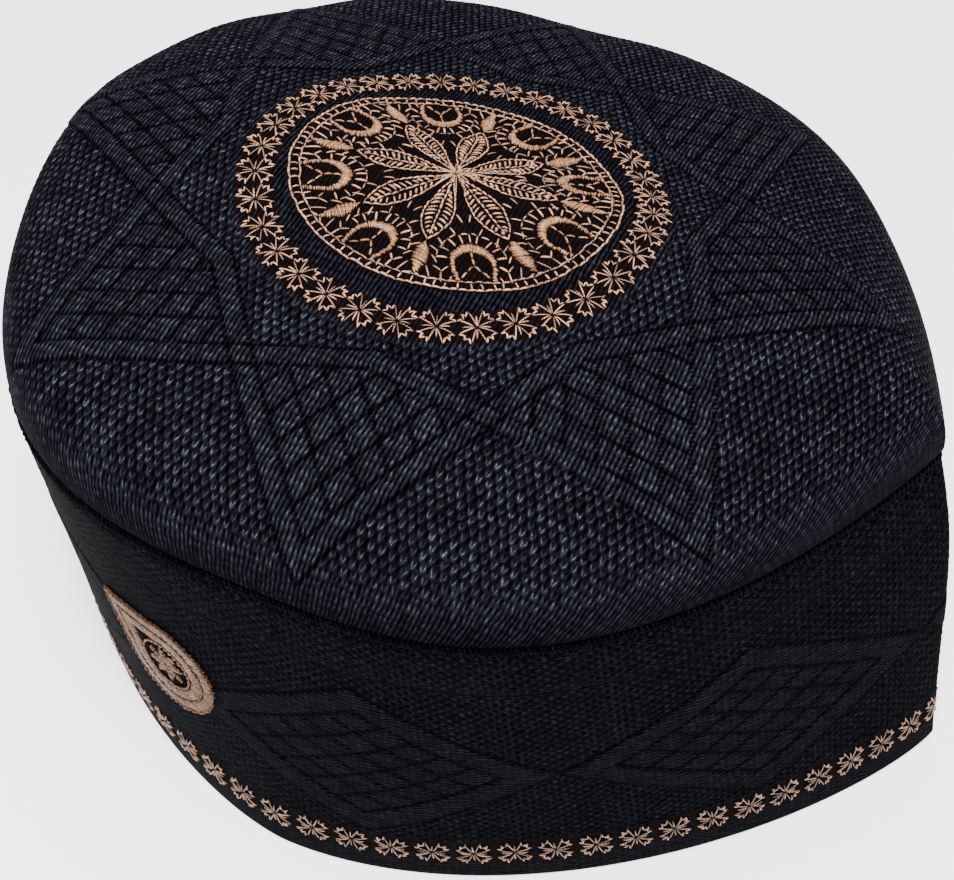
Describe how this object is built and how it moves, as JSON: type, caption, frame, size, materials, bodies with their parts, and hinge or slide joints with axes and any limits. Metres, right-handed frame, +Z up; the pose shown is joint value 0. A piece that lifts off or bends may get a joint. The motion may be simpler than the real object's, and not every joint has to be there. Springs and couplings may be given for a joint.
{
  "type": "kufi",
  "caption": "Open knitted cap with a domed crown and an upright side band that folds flat, with copper thread embroidery on crown, hem and side.",
  "frame": {"origin": "on the floor under the middle of the hem's bounding box", "axes": "+X towards the front fold along the crease of the crown, +Z up, -Y the side with the badge"},
  "size_m": [0.2166, 0.1842, 0.1166],
  "materials": {
    "knit_cloth": "fine black knit with a low woven-in relief",
    "seam_thread": "black sewing thread",
    "copper_thread": "copper brown embroidery thread with a soft lustre"
  },
  "bodies": {
    "root": {"side_band": "knit_cloth", "crown": "knit_cloth", "crown_seam": "seam_thread", "medallion_border": "copper_thread", "medallion_flower": "copper_thread", "medallion_leaf_1": "copper_thread", "medallion_leaf_2": "copper_thread", "medallion_leaf_3": "copper_thread", "medallion_leaf_4": "copper_thread", "medallion_leaf_5": "copper_thread", "medallion_leaf_6": "copper_thread", "medallion_leaf_7": "copper_thread", "medallion_leaf_8": "copper_thread", "medallion_horseshoe_1": "copper_thread", "medallion_horseshoe_2": "copper_thread", "medallion_horseshoe_3": "copper_thread", "medallion_horseshoe_4": "copper_thread", "medallion_horseshoe_5": "copper_thread", "medallion_horseshoe_6": "copper_thread", "medallion_horseshoe_7": "copper_thread", "medallion_horseshoe_8": "copper_thread", "star_ring": "copper_thread", "hem_star_row": "copper_thread", "side_badge": "copper_thread"}
  },
  "joints": []
}
